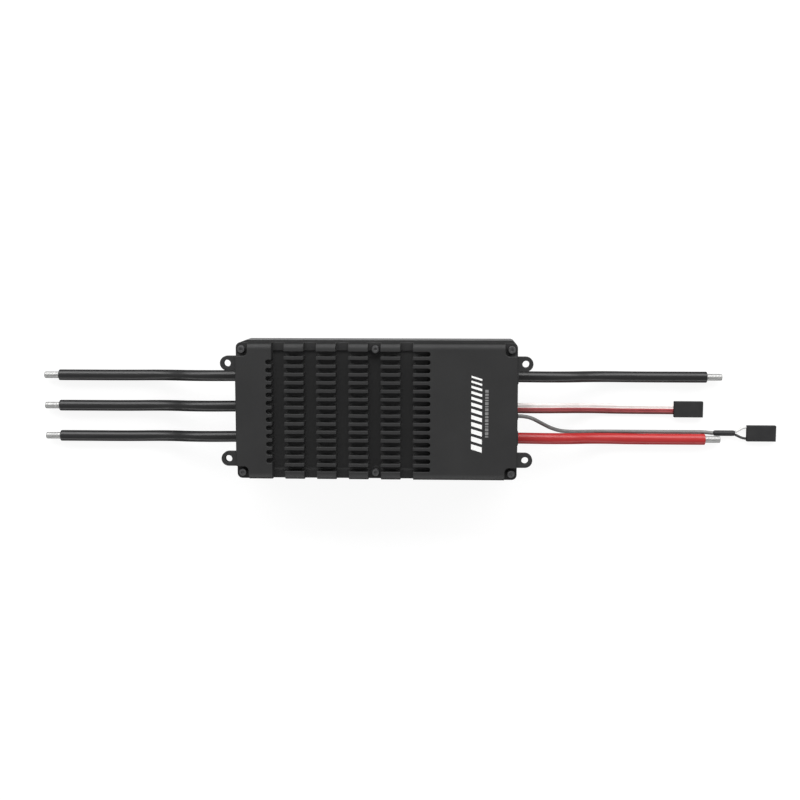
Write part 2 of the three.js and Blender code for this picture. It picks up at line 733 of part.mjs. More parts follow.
for (const lead of LEADS) {
  addGeometry(lead.name, cord(leadPoints(lead), roundSection(LEAD_RADIUS, 12), LEAD_STEPS),
    { color: lead.color, roughness: 0.5, metalness: 0 });
  const start = END + lead.reach + GAP;
  const xs = span(lead.end * start, lead.end * (start + TIP_LENGTH));
  add(`${lead.name}_tinned_end`, barX(...xs, lead.restY, LEAD_ROUTE.at(-1)[1], TIP_RADIUS), FINISHES.tinned);
}

// the flat lead's section: a rectangle with bevelled corners, width across Y
function ribbonSection() {
  const through = RIBBON_THICKNESS / 2;
  const across = RIBBON_WIDTH / 2;
  const shortThrough = through - RIBBON_BEVEL.through;
  const shortAcross = across - RIBBON_BEVEL.across;
  return new THREE.Shape([
    new THREE.Vector2(-through, shortAcross),
    new THREE.Vector2(-shortThrough, across),
    new THREE.Vector2(shortThrough, across),
    new THREE.Vector2(through, shortAcross),
    new THREE.Vector2(through, -shortAcross),
    new THREE.Vector2(shortThrough, -across),
    new THREE.Vector2(-shortThrough, -across),
    new THREE.Vector2(-through, -shortAcross),
  ]);
}

addGeometry('signal_lead', cord(RIBBON_ROUTE, ribbonSection(), 14), FINISHES.ribbon);
addGeometry('data_cable', cord(CABLE_ROUTE, roundSection(CABLE_RADIUS, 8), 22), FINISHES.cable);
addGeometry('data_cable_sleeve', cord(SLEEVE_ROUTE, roundSection(SLEEVE_RADIUS, 12), 1), FINISHES.shrink);
addGeometry('data_wire_white', cord(UPPER_WIRE_ROUTE, roundSection(WIRE_RADIUS, 8), 3), FINISHES.whiteWire);
addGeometry('data_wire_black', cord(LOWER_WIRE_ROUTE, roundSection(WIRE_RADIUS, 8), 3), FINISHES.blackWire);

// a flat three-way socket housing, lying flat, with its contacts' mouths at the far end
function socketPlug(x0, y) {
  const x1 = x0 + PLUG_LENGTH;
  const middle = PLUG_HEIGHT / 2;
  const mouths = [-CONTACT_PITCH, 0, CONTACT_PITCH].map((offset) => box(
    x1 - MOUTH_DEPTH, x1 + 1, y + offset - MOUTH_HALF, y + offset + MOUTH_HALF,
    middle - MOUTH_HALF, middle + MOUTH_HALF));
  return box(x0, x1, y - PLUG_WIDTH / 2, y + PLUG_WIDTH / 2, 0, PLUG_HEIGHT).subtract(joined(mouths));
}

add('signal_plug', socketPlug(SIGNAL_PLUG_X, SIGNAL_PLUG_Y), FINISHES.plug);
add('data_plug', socketPlug(DATA_PLUG_X, DATA_PLUG_Y), FINISHES.plug);

export default controller;
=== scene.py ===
"""Looks of an electronic speed controller: finned metal case, five power leads, signal lead, data cable."""

import math
import random

import bmesh
import bpy
from mathutils import Matrix, Vector


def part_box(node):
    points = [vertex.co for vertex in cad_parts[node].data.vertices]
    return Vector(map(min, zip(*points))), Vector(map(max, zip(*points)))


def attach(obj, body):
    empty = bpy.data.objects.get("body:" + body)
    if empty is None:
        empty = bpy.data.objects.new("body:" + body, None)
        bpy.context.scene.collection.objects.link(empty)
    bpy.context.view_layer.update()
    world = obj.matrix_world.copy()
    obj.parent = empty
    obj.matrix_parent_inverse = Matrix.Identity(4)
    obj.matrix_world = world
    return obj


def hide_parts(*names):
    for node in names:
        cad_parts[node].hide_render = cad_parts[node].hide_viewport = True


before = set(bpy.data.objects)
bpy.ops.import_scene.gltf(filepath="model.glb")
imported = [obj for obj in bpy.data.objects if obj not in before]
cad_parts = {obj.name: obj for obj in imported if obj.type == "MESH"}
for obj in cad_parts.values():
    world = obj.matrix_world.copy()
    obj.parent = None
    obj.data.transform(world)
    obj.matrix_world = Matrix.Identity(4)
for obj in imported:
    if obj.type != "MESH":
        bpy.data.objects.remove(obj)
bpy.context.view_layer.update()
BODY = "root"

# ---------------------------------------------------------------- sizes and places on the case, in metres

END = round(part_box("lower_case")[1].x, 5)  # the end walls stand this far from the middle
TOP = round(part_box("heatsink_cover")[1].z, 5)
NEAR = 0.0001  # allowance when a face is told by where it lies

FIN_PITCH = 0.004035
SLOT_ROWS = 7  # slots on each side of the middle one
SLOT_ENDS = (-0.0537, 0.0265)
SLOT_FLOOR = TOP - 0.007
RAIL_Y = 0.0297  # the fins and channels lie between the two side rails

FIRST_CHANNEL = -0.0478
CHANNEL_PITCH = 0.0157
CHANNELS = [FIRST_CHANNEL + CHANNEL_PITCH * number for number in range(5)]
CHANNEL_HALF = 0.00305

SIDE_WALL_Y = 0.0325  # side walls lie farther out than this
ROUNDING_Z = TOP - 0.004  # the long edges' rounding lies above this
SCREW_CENTRE = (0.0658, 0.0303)
LUG_CENTRE = (0.0725, 0.0235)

EXIT_Z = 0.016  # height at which the cords leave the end walls
LEAD_PITCH = 0.0155

# ---------------------------------------------------------------- camera and light

CAMERA_PLACE = Vector((0.0365, 0.0721, 0.6067))
CAMERA_RIGHT = Vector((0.99906, 0.0, -0.04340))  # the directions that are right and up in the picture
CAMERA_UP = Vector((-0.00500, 0.99334, -0.11514))
CAMERA_LENS = 53.235  # millimetres, as is the sensor
SENSOR_WIDTH = 36.0
CAMERA_REACH = (0.01, 20.0)  # nearest and farthest thing that it sees

WHITE = (1.0, 1.0, 1.0, 1.0)
WORLD_STRENGTH = 0.43

# name: place, point that it faces, width, height, watts
SOFTBOXES = {
    "key": ((0.03, 0.98, 0.62), (0.03, 0.0, 0.0), 3.4, 0.70, 40.0),
    "rim": ((0.03, 1.2, 0.14), (0.03, 0.0, 0.02), 3.4, 0.22, 5.5),
    "fill": ((0.03, -1.2, 0.33), (0.03, 0.0, 0.02), 3.4, 0.5, 12.0),
}


def add_camera():
    data = bpy.data.cameras.new("camera")
    data.lens = CAMERA_LENS
    data.sensor_width = SENSOR_WIDTH
    data.clip_start, data.clip_end = CAMERA_REACH
    camera = bpy.data.objects.new("camera", data)
    bpy.context.scene.collection.objects.link(camera)
    right = CAMERA_RIGHT.normalized()
    back = right.cross(CAMERA_UP).normalized()
    up = back.cross(right)
    turn = Matrix((right, up, back)).transposed().to_4x4()
    camera.matrix_world = Matrix.Translation(CAMERA_PLACE) @ turn
    bpy.context.scene.camera = camera


def add_softbox(name, place, aim, width, height, watts):
    data = bpy.data.lights.new(name, "AREA")
    data.shape = "RECTANGLE"
    data.size = width
    data.size_y = height
    data.energy = watts
    light = bpy.data.objects.new(name, data)
    bpy.context.scene.collection.objects.link(light)
    light.location = place
    light.rotation_mode = "QUATERNION"
    light.rotation_quaternion = (Vector(aim) - Vector(place)).to_track_quat("-Z", "Y")


def add_world():
    world = bpy.data.worlds.new("studio")
    world.use_nodes = True
    background = world.node_tree.nodes["Background"]
    background.inputs["Color"].default_value = WHITE
    background.inputs["Strength"].default_value = WORLD_STRENGTH
    bpy.context.scene.world = world


add_camera()
bpy.context.scene.view_settings.view_transform = "Standard"
add_world()
for light_name, light_facts in SOFTBOXES.items():
    add_softbox(light_name, *light_facts)

# ---------------------------------------------------------------- materials

MIX_COLOURS = (6, 7)  # a Mix node's two colour inputs, and its colour output
MIX_RESULT = 2


class Look:
    """A node material around one Principled shader. Its textures and sizes are in the frame's metres."""

    def __init__(self, name, metallic=0.0, specular=0.5):
        self.material = bpy.data.materials.new(name)
        self.material.use_nodes = True
        self.tree = self.material.node_tree
        self.shader = self.tree.nodes["Principled BSDF"]
        self.shader.inputs["Metallic"].default_value = metallic
        self.shader.inputs["Specular IOR Level"].default_value = specular
        self.place = self.tree.nodes.new("ShaderNodeTexCoord").outputs["Object"]

    def link(self, source, target):
        self.tree.links.new(source, target)

    def stretched(self, scale):
        """The texture space, scaled along each axis."""
        mapping = self.tree.nodes.new("ShaderNodeMapping")
        mapping.inputs["Scale"].default_value = scale
        self.link(self.place, mapping.inputs["Vector"])
        return mapping.outputs["Vector"]

    def noise(self, size, detail=3.0, place=None):
        """Noise with features of about that size, in metres."""
        node = self.tree.nodes.new("ShaderNodeTexNoise")
        node.inputs["Scale"].default_value = 1.0 / size
        node.inputs["Detail"].default_value = detail
        self.link(place or self.place, node.inputs["Vector"])
        return node.outputs["Fac"]

    def along(self, axis):
        """The place along X, Y or Z."""
        node = self.tree.nodes.new("ShaderNodeSeparateXYZ")
        self.link(self.place, node.inputs[0])
        return node.outputs[axis]

    def maths(self, operation, first, second):
        """A Math node's result from an output and either a number or a second output."""
        node = self.tree.nodes.new("ShaderNodeMath")
        node.operation = operation
        self.link(first, node.inputs[0])
        if isinstance(second, float):
            node.inputs[1].default_value = second
        else:
            self.link(second, node.inputs[1])
        return node.outputs[0]

    def between(self, value, low, high, start=0.3, stop=0.7):
        """A number from low to high as value goes from start to stop."""
        node = self.tree.nodes.new("ShaderNodeMapRange")
        node.inputs["From Min"].default_value = start
        node.inputs["From Max"].default_value = stop
        node.inputs["To Min"].default_value = low
        node.inputs["To Max"].default_value = high
        self.link(value, node.inputs["Value"])
        return node.outputs["Result"]

    def mix(self, value, first, second):
        """A colour from first to second; each is a colour or another node's output."""
        node = self.tree.nodes.new("ShaderNodeMix")
        node.data_type = "RGBA"
        self.link(value, node.inputs["Factor"])
        for index, colour in zip(MIX_COLOURS, (first, second)):
            if isinstance(colour, tuple):
                node.inputs[index].default_value = (*colour, 1.0)
            else:
                self.link(colour, node.inputs[index])
        return node.outputs[MIX_RESULT]

    def colour(self, source):
        self.link(source, self.shader.inputs["Base Color"])

    def roughness(self, source):
        self.link(source, self.shader.inputs["Roughness"])

    def bump(self, value, depth, strength=1.0, under=None):
        """Bump of that depth in metres; under is another bump's output."""
        node = self.tree.nodes.new("ShaderNodeBump")
        node.inputs["Strength"].default_value = strength
        node.inputs["Distance"].default_value = depth
        self.link(value, node.inputs["Height"])
        if under is not None:
            self.link(under, node.inputs["Normal"])
        self.link(node.outputs["Normal"], self.shader.inputs["Normal"])
        return node.outputs["Normal"]


def plain_look(name, dark, light, rough, patch=0.006, grain=0.0004, depth=0.00001, **shader):
    """Two close shades in soft patches, uneven roughness and a fine grain.
    patch and grain are the features' sizes, depth is the grain's."""
    look = Look(name, **shader)
    look.colour(look.mix(look.between(look.noise(patch), 0.0, 1.0), dark, light))
    look.roughness(look.between(look.noise(patch * 0.4), rough - 0.05, rough + 0.06))
    look.bump(look.noise(grain, 2.0), depth)
    return look.material


# painted light: the slots' walls and floor are painted paler the deeper they lie and the farther they are
# from a channel, standing in for light that reaches down into them
PAINTED_LIGHT_FROM_Z = TOP - 0.0015  # the slots' walls grow paler from here down to their floor
PAINTED_LIGHT_FROM_CHANNEL = (0.0032, 0.0062)  # and from a channel's middle line: hardly, and fully
PAINTED_LIGHT_AT_CHANNEL = 0.1
# painted highlight: the long front edge is painted paler where it rounds over
FRONT_EDGE = (-0.0302, -0.0316)  # y where the long front edge starts to round, and where it is paler


def painted_light_in_slots(look):
    """Share of the slots' painted light: 0 at the top of the fins, small beside a channel, 1 on the floor
    well inside a slot.
    """
    depth = look.between(look.along("Z"), 0.0, 1.0, PAINTED_LIGHT_FROM_Z, SLOT_FLOOR)
    from_first = look.maths("SUBTRACT", look.along("X"), FIRST_CHANNEL)
    from_channel = look.maths("PINGPONG", from_first, CHANNEL_PITCH / 2.0)
    enclosed = look.between(from_channel, PAINTED_LIGHT_AT_CHANNEL, 1.0, *PAINTED_LIGHT_FROM_CHANNEL)
    return look.maths("MULTIPLY", depth, enclosed)


def painted_highlight_on_front_edge(look):
    """Share of the front edge's painted highlight: 0 on the flat top, 1 where the long front edge has
    rounded over.
    """
    return look.between(look.along("Y"), 0.0, 1.0, *FRONT_EDGE)


def anodised(name, dark, light, rough, paler=None, where=None):
    """Bead-blasted, anodised aluminium: a fine even grain with bright specks and faint cloudy patches.
    paler: a second colour laid over the first as painted light. where: a function that gives its share."""
    cloud_size = 0.022
    speck_size = 0.00022
    dull_patch_size = 0.004
    blast_size = 0.00026
    blast_depth = 0.000012
    ripple_size = 0.0028
    ripple_depth = 0.00002
    speck_colour = tuple(1.5 * value for value in light)
    look = Look(name, specular=0.2)
    clouds = look.mix(look.between(look.noise(cloud_size, 4.0), 0.0, 1.0), dark, light)
    specks = look.between(look.noise(speck_size, 1.0), 0.0, 0.35, 0.55, 0.75)
    colour = look.mix(specks, clouds, speck_colour)
    if paler:
        colour = look.mix(where(look), colour, paler)
    look.colour(colour)
    look.roughness(look.between(look.noise(dull_patch_size), rough - 0.04, rough + 0.06))
    blasted = look.bump(look.noise(blast_size, 2.0), blast_depth)
    look.bump(look.noise(ripple_size), ripple_depth, 0.5, blasted)
    return look.material


def silicone(name, dark, light):
    """Satin wire insulation: faint lengthwise drag marks over a very fine grain."""
    drag_size = 0.0012
    drag_depth = 0.00002
    lengthwise = (0.06, 1.0, 1.0)
    dull_patch_size = 0.002
    grain_size = 0.0003
    grain_depth = 0.000006
    look = Look(name, specular=0.38)
    drag = look.noise(drag_size, place=look.stretched(lengthwise))
    look.colour(look.mix(look.between(drag, 0.0, 1.0), dark, light))
    look.roughness(look.between(look.noise(dull_patch_size), 0.28, 0.36))
    grain = look.bump(look.noise(grain_size, 2.0), grain_depth)
    look.bump(drag, drag_depth, 0.6, grain)
    return look.material


# looks: darker and lighter shade, roughness
CASE = anodised("black_anodised", (0.021, 0.021, 0.0213), (0.025, 0.025, 0.0253), 0.55)
CASE_EDGE = anodised("black_anodised_edge", (0.023, 0.023, 0.0233), (0.029, 0.029, 0.0293), 0.50)
# painted shade: the outer side walls are a darker copy of the case
CASE_WALL_SHADE = anodised("black_anodised_wall_painted_shade", (0.008, 0.008, 0.0082), (0.010, 0.010, 0.0102), 0.66)
# painted light: the channel floors are a slightly paler copy of the case
CASE_CHANNELS_LIT = anodised("black_anodised_channels_painted_light", (0.025, 0.025, 0.0253), (0.029, 0.029, 0.0293), 0.60)
# painted shade and light: the slots are darker than the case near the fin tops and grow paler towards their
# floor
CASE_SLOTS_SHADE_AND_LIGHT = anodised("black_anodised_slots_painted_shade_and_light", (0.018, 0.018, 0.0183), (0.022, 0.022, 0.0223), 0.60,
                      paler=(0.075, 0.075, 0.0755), where=painted_light_in_slots)
# painted highlight: a paler colour laid over the long front edge's rounding
CASE_FRONT_HIGHLIGHT = anodised("black_anodised_front_edge_painted_highlight", (0.021, 0.021, 0.0213), (0.025, 0.025, 0.0253), 0.52,
                      paler=(0.044, 0.044, 0.0444), where=painted_highlight_on_front_edge)
# painted light: the lower case and its rounded edges are a paler grey than the black cover, standing in for
# light bounced up onto them from the floor
LOWER_CASE_FLOOR_LIT = anodised("anodised_lower_case_painted_floor_light", (0.115, 0.115, 0.116), (0.135, 0.135, 0.136), 0.50)
LOWER_EDGE_FLOOR_LIT = anodised("anodised_lower_case_edge_painted_floor_light", (0.15, 0.15, 0.151), (0.17, 0.17, 0.171), 0.44)
SCREW = plain_look("blackened_steel", (0.10, 0.10, 0.102), (0.16, 0.16, 0.163), 0.36,
                   patch=0.0012, grain=0.00015, depth=0.000008, metallic=0.85)
RUBBER = plain_look("black_rubber", (0.014, 0.014, 0.015), (0.020, 0.020, 0.021), 0.62, specular=0.3)
BLACK_SILICONE = silicone("black_silicone", (0.010, 0.010, 0.0104), (0.015, 0.015, 0.0155))
RED_SILICONE = silicone("red_silicone", (0.33, 0.017, 0.018), (0.38, 0.024, 0.024))
TINNED = plain_look("tinned_strands", (0.30, 0.30, 0.30), (0.42, 0.42, 0.41), 0.46,
                    patch=0.0008, grain=0.0002, depth=0.00003, metallic=0.7)
WHITE_PVC = plain_look("white_insulation", (0.78, 0.71, 0.69), (0.86, 0.80, 0.78), 0.42, patch=0.004)
WHITE_WIRE = plain_look("white_wire_insulation", (0.58, 0.58, 0.57), (0.66, 0.66, 0.65), 0.42, patch=0.004)
RED_PVC = plain_look("red_insulation", (0.26, 0.035, 0.04), (0.33, 0.05, 0.055), 0.42, patch=0.004)
BROWN_PVC = plain_look("dark_insulation", (0.090, 0.017, 0.015), (0.115, 0.025, 0.022), 0.5, patch=0.004,
                       specular=0.25)
GREY_PVC = plain_look("grey_sheath", (0.13, 0.13, 0.128), (0.17, 0.17, 0.167), 0.5, patch=0.003,
                      grain=0.0005, depth=0.00002)
SHRINK = plain_look("heat_shrink", (0.016, 0.016, 0.017), (0.024, 0.024, 0.025), 0.46, patch=0.002,
                    grain=0.0008, depth=0.00004, specular=0.25)
BLACK_PVC = plain_look("black_insulation", (0.020, 0.020, 0.021), (0.030, 0.030, 0.031), 0.42)
PLUG = plain_look("black_nylon", (0.018, 0.018, 0.0185), (0.024, 0.024, 0.0245), 0.5, grain=0.0002,
                  depth=0.00001, specular=0.25)
BRASS = plain_look("contact_brass", (0.55, 0.40, 0.16), (0.70, 0.52, 0.24), 0.3, patch=0.001, metallic=1.0)
WHITE_INK = plain_look("white_ink", (0.72, 0.72, 0.71), (0.82, 0.82, 0.81), 0.6, patch=0.001, grain=0.0002)
GREY_INK = plain_look("grey_ink", (0.15, 0.15, 0.15), (0.20, 0.20, 0.20), 0.6, patch=0.001, grain=0.0002)
LAMINATE = plain_look("green_laminate", (0.010, 0.060, 0.028), (0.018, 0.095, 0.045), 0.35, patch=0.003)
PACKAGE = plain_look("chip_package", (0.014, 0.014, 0.015), (0.022, 0.022, 0.023), 0.6, grain=0.0002)
PAD = plain_look("thermal_silicone", (0.25, 0.30, 0.34), (0.32, 0.37, 0.42), 0.8, grain=0.0006)
COPPER = plain_look("bare_copper", (0.48, 0.16, 0.07), (0.66, 0.27, 0.13), 0.32, patch=0.004, metallic=1.0)
CAN = plain_look("capacitor_sleeve", (0.016, 0.017, 0.030), (0.026, 0.027, 0.042), 0.35, patch=0.004)
NYLON = plain_look("white_nylon", (0.66, 0.63, 0.54), (0.74, 0.71, 0.62), 0.5, patch=0.002)

# ---------------------------------------------------------------- meshes

# faces that meet at more than this many degrees meet in a sharp edge
SQUARE_SHARP = 30.0
MACHINED_SHARP = 35.0
CORD_SHARP = 50.0
STRANDS_SHARP = 60.0


def finished(piece):
    """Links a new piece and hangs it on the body."""
    bpy.context.scene.collection.objects.link(piece)
    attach(piece, BODY)
    return piece


def from_bmesh(name, form, materials, sharp_from):
    """The piece made from a bmesh, with its other edges shaded smooth."""
    mesh = bpy.data.meshes.new(name)
    bmesh.ops.recalc_face_normals(form, faces=form.faces)
    form.to_mesh(mesh)
    form.free()
    for material in materials:
        mesh.materials.append(material)
    mesh.shade_smooth()
    mesh.set_sharp_from_angle(angle=math.radians(sharp_from))
    return finished(bpy.data.objects.new(name, mesh))


# numbers of a piece's materials: a piece has the first, the first two, or, as the cover, all of them
PLAIN, ROUNDED, WALL, CHANNEL_FLOOR, SLOT, FRONT = range(6)

ROUNDED_FROM = math.radians(38.0)  # outer edges sharper than this are rounded
CASE_ROUNDING = 0.00025  # how far a rounding reaches from its edge
SMALL_ROUNDING = 0.0002
FLAT_WITHIN = math.radians(1.0)  # facets closer than this in direction are one face
SAME_POINT = 2e-6


def recut(form, cuts):
    """Merges the solid's facets into flat faces without holes: they end at the cutting planes.
    cuts: for each of the axes 0, 1 and 2, the planes' places along it."""
    for axis, places in cuts.items():
        normal = Vector([float(axis == k) for k in range(3)])
        for place in places:
            everything = [*form.verts, *form.edges, *form.faces]
            made = bmesh.ops.bisect_plane(
                form, geom=everything, dist=SAME_POINT, plane_co=normal * place, plane_no=normal)
            for element in made["geom_cut"]:
                if isinstance(element, bmesh.types.BMEdge):
                    element.seam = True
    bmesh.ops.dissolve_limit(
        form, angle_limit=FLAT_WITHIN, verts=form.verts, edges=form.edges, delimit={"SEAM"})
    for edge in form.edges:
        edge.seam = False


def crafted(node, name, materials, width, cuts=None, segments=2, paint=None):
    """The CAD node's solid with its facets merged and its outer edges rounded.
    width: how far a rounding reaches from its edge. cuts: as in recut.
    paint: a function from a face's middle and normal to its material's number."""
    form = bmesh.new()
    form.from_mesh(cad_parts[node].data)
    bmesh.ops.remove_doubles(form, verts=form.verts, dist=SAME_POINT)
    recut(form, cuts or {})
    if paint:
        for face in form.faces:
            face.material_index = paint(face.calc_center_median(), face.normal)
    form.normal_update()
    weight = form.edges.layers.float.new("bevel_weight_edge")
    for edge in form.edges:
        if edge.is_manifold and edge.calc_face_angle_signed() > ROUNDED_FROM:
            edge[weight] = 1.0
    piece = from_bmesh(name, form, materials, MACHINED_SHARP)
    mesh = piece.data
    if mesh.attributes.get("custom_normal"):  # the CAD's own, which no longer fit the faces
        mesh.attributes.remove(mesh.attributes["custom_normal"])
    bevel = piece.modifiers.new("rounded_edges", "BEVEL")
    bevel.width = width
    bevel.segments = segments
    bevel.limit_method = "WEIGHT"
    bevel.use_clamp_overlap = False
    if len(materials) > 1:
        bevel.material = ROUNDED
    bevel.harden_normals = True
    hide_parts(node)
    return piece


SPAN_STEPS = 8  # a curve's straight steps from one given point to the next


def through_points(points):
    """A centripetal Catmull-Rom curve through the points, as closely spaced points."""
    points = [Vector(point) for point in points]
    points = [2 * points[0] - points[1], *points, 2 * points[-1] - points[-2]]
    line = []
    for index in range(1, len(points) - 2):
        a, b, c, d = points[index - 1:index + 3]
        t1 = math.sqrt((b - a).length)
        t2 = t1 + math.sqrt((c - b).length)
        t3 = t2 + math.sqrt((d - c).length)
        for step in range(SPAN_STEPS):
            t = t1 + (t2 - t1) * step / SPAN_STEPS
            ab = a * ((t1 - t) / t1) + b * (t / t1)
            bc = b * ((t2 - t) / (t2 - t1)) + c * ((t - t1) / (t2 - t1))
            cd = c * ((t3 - t) / (t3 - t2)) + d * ((t - t2) / (t3 - t2))
            abc = ab * ((t2 - t) / t2) + bc * (t / t2)
            bcd = bc * ((t3 - t) / (t3 - t1)) + cd * ((t - t1) / (t3 - t1))
            line.append(abc * ((t2 - t) / (t2 - t1)) + bcd * ((t - t1) / (t2 - t1)))
    line.append(points[-2])
    return line


class Route:
    """A smooth line with a frame that doesn't twist: across lies level, over points up."""

    def __init__(self, points):
        self.line = through_points(points) if len(points) > 2 else [Vector(point) for point in points]
        self.reach = [0.0]
        for first, second in zip(self.line, self.line[1:]):
            self.reach.append(self.reach[-1] + (second - first).length)
        self.length = self.reach[-1]

    def at(self, distance):
        """Point, across and over at that distance along the line."""
        distance = min(max(distance, 0.0), self.length)
        index = 0
        while index < len(self.reach) - 2 and self.reach[index + 1] < distance:
            index += 1
        first, second = self.line[index], self.line[index + 1]
        share = (distance - self.reach[index]) / (self.reach[index + 1] - self.reach[index])
        before = self.line[max(index - 1, 0)]
        after = self.line[min(index + 2, len(self.line) - 1)]
        start = (second - before).normalized()
        stop = (after - first).normalized()
        ahead = start.lerp(stop, share).normalized()
        across = Vector((0.0, 0.0, 1.0)).cross(ahead).normalized()
        return first.lerp(second, share), across, ahead.cross(across)


def circle(radius, sides):
    angles = [2 * math.pi * i / sides for i in range(sides)]
    return [(radius * math.cos(angle), radius * math.sin(angle)) for angle in angles]


def sweep(name, route, stations, outline, materials, paint=None, sharp_from=CORD_SHARP):
    """A closed skin along a route. stations: pairs of distance and scale of the outline.
    outline: a list of points, or a function from the distance to one.
    paint: the material's number on each stretch of the outline."""
    form = bmesh.new()
    rings = []
    for distance, scale in stations:
        shape = outline(distance) if callable(outline) else outline
        point, across, over = route.at(distance)
        places = [point + across * (u * scale) + over * (v * scale) for u, v in shape]
        rings.append([form.verts.new(place) for place in places])
    count = len(rings[0])
    for first, second in zip(rings, rings[1:]):
        for i in range(count):
            j = (i + 1) % count
            face = form.faces.new((first[i], first[j], second[j], second[i]))
            face.material_index = paint[i] if paint else PLAIN
    for ring in (rings[0], rings[-1]):
        middle = form.verts.new(sum((vert.co for vert in ring), Vector()) / count)
        for i in range(count):
            face = form.faces.new((ring[i], ring[(i + 1) % count], middle))
            face.material_index = paint[i] if paint else PLAIN
    return from_bmesh(name, form, materials, sharp_from)


def even(start, stop, step):
    """Evenly spaced distances from start to stop, about one step apart."""
    count = max(1, round((stop - start) / step))
    return [start + (stop - start) * i / count for i in range(count + 1)]


def prism(form, corners, low, high):
    """An upright prism between two heights."""
    bottom = [form.verts.new((x, y, low)) for x, y in corners]
    top = [form.verts.new((x, y, high)) for x, y in corners]
    form.faces.new(top)
    form.faces.new(list(reversed(bottom)))
    for i in range(len(corners)):
        j = (i + 1) % len(corners)
        form.faces.new((bottom[i], bottom[j], top[j], top[i]))


# ---------------------------------------------------------------- cords

REST_Z = 0.00285  # a lead's middle line where it lies on the surface

# distance out from the end wall, height, share of the sideways drift from LEADS
LEAD_ROUTE = [
    (-0.007, 0.016, 0), (-0.003, 0.016, 0), (0, 0.016, 0), (0.005, 0.016, 0.01),
    (0.010, 0.016, 0.04), (0.015, 0.0157, 0.09), (0.020, 0.0148, 0.16), (0.025, 0.0133, 0.26),
    (0.030, 0.0111, 0.39), (0.033, 0.0094, 0.48), (0.036, 0.0077, 0.57), (0.041, 0.0055, 0.7),
    (0.046, 0.004, 0.81), (0.051, 0.0031, 0.9), (0.056, REST_Z, 0.96), (0.066, REST_Z, 1),
    (0.076, REST_Z, 1), (0.087, REST_Z, 1),
]

# node, end of the case, y at the wall, y on the surface, reach outside the wall
LEADS = [
    ("motor_lead_back", -1, LEAD_PITCH, 0.0143, 0.098),
    ("motor_lead_middle", -1, 0.0, -0.0016, 0.0981),
    ("motor_lead_front", -1, -LEAD_PITCH, -0.0175, 0.0981),
    ("battery_lead_negative", 1, LEAD_PITCH, 0.0144, 0.0972),
    ("battery_lead_positive", 1, -LEAD_PITCH, -0.0175, 0.0972),
]
LEAD_RADIUS = 0.0028
LEAD_SIDES = 40
LEAD_STEP = 0.0012
RECESS = 0.0009  # how deep the insulation's mouth is, around the strands
CORE_RADIUS = 0.0017
CORE_SIDES = 66
CORE_STEP = 0.0003
STRANDS = 11  # strands seen round the core
STRAND_DIP = 0.10  # how far the outline dips between strands, as a share of the radius
TWIST_LENGTH = 0.016  # the strands go once round in this length


def core_outline(distance):
    """A twisted bundle of strands: its outline turns as it goes along."""
    turn = 2 * math.pi * distance / TWIST_LENGTH
    shape = []
    for i in range(CORE_SIDES):
        angle = 2 * math.pi * i / CORE_SIDES
        swell = abs(math.sin(STRANDS * 0.5 * (angle + turn))) ** 0.6
        radius = CORE_RADIUS * (1.0 - STRAND_DIP + STRAND_DIP * swell)
        shape.append((radius * math.cos(angle), radius * math.sin(angle)))
    return shape


def add_lead(node, end, exit_y, rest_y, reach):
    """A lead's insulation and, out of its mouth, the tinned strands."""
    points = [(end * (END + out), exit_y + drift * (rest_y - exit_y), z) for out, z, drift in LEAD_ROUTE]
    points.append((end * (END + reach), rest_y, REST_Z))
    route = Route(points)
    length = route.length
    red = node.endswith("positive")
    skin = RED_SILICONE if red else BLACK_SILICONE
    # a little narrower at both ends, then from the far end's rim down into the mouth
    stations = [(0.0, 0.9), (0.0003, 1.0)]
    stations += [(s, 1.0) for s in even(0.001, length - 0.0004, LEAD_STEP)]
    stations += [(length - 0.0001, 0.97), (length, 0.9), (length, 0.66), (length - RECESS, 0.64)]
    lead = sweep(node + "_insulation", route, stations, circle(LEAD_RADIUS, LEAD_SIDES), [skin])
    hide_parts(node)

    tip_node = node + "_tinned_end"
    low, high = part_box(tip_node)
    outer = high.x if end > 0 else low.x
    inner = end * (END + reach - RECESS + NEAR)
    tip_route = Route([(inner, rest_y, REST_Z), (outer, rest_y, REST_Z)])
    tip_stations = [(s, 1.0) for s in even(0.0, tip_route.length - 0.0005, CORE_STEP)]
    tip_stations += [(tip_route.length - 0.0002, 0.96), (tip_route.length, 0.84)]
    tip = sweep(tip_node + "_strands", tip_route, tip_stations, core_outline, [TINNED],
                sharp_from=STRANDS_SHARP)
    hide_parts(tip_node)


for lead_facts in LEADS:
    add_lead(*lead_facts)

# the flat signal lead: three strands side by side, white at the back, red in the middle, dark at the front
RIBBON_ROUTE = [
    (0.0615, -0.0003, 0.016), (0.065, -0.0003, 0.016), (0.069, -0.0003, 0.016), (0.074, -0.0003, 0.016),
    (0.079, -0.00035, 0.0156), (0.084, -0.0005, 0.0143), (0.089, -0.0007, 0.0122),
    (0.094, -0.001, 0.0094), (0.099, -0.0013, 0.0065), (0.104, -0.0016, 0.0039),
    (0.109, -0.00183, 0.002), (0.114, -0.00202, 0.00105), (0.120, -0.00215, 0.0009),
    (0.128, -0.00222, 0.0009), (0.136, -0.00225, 0.0009), (0.1435, -0.00225, 0.00102),
    (0.1499, -0.00225, 0.00135),
]
RIBBON_WIDTH = 0.0052
STRAND_WIDTHS = (0.0020, 0.0017, 0.0015)
STRAND_RADIUS = 0.00085
WEB_ANGLE = 46  # degrees from the sideways direction at which a strand's round meets the web
ARC_STEP = 18  # degrees
CORD_STEP = 0.001


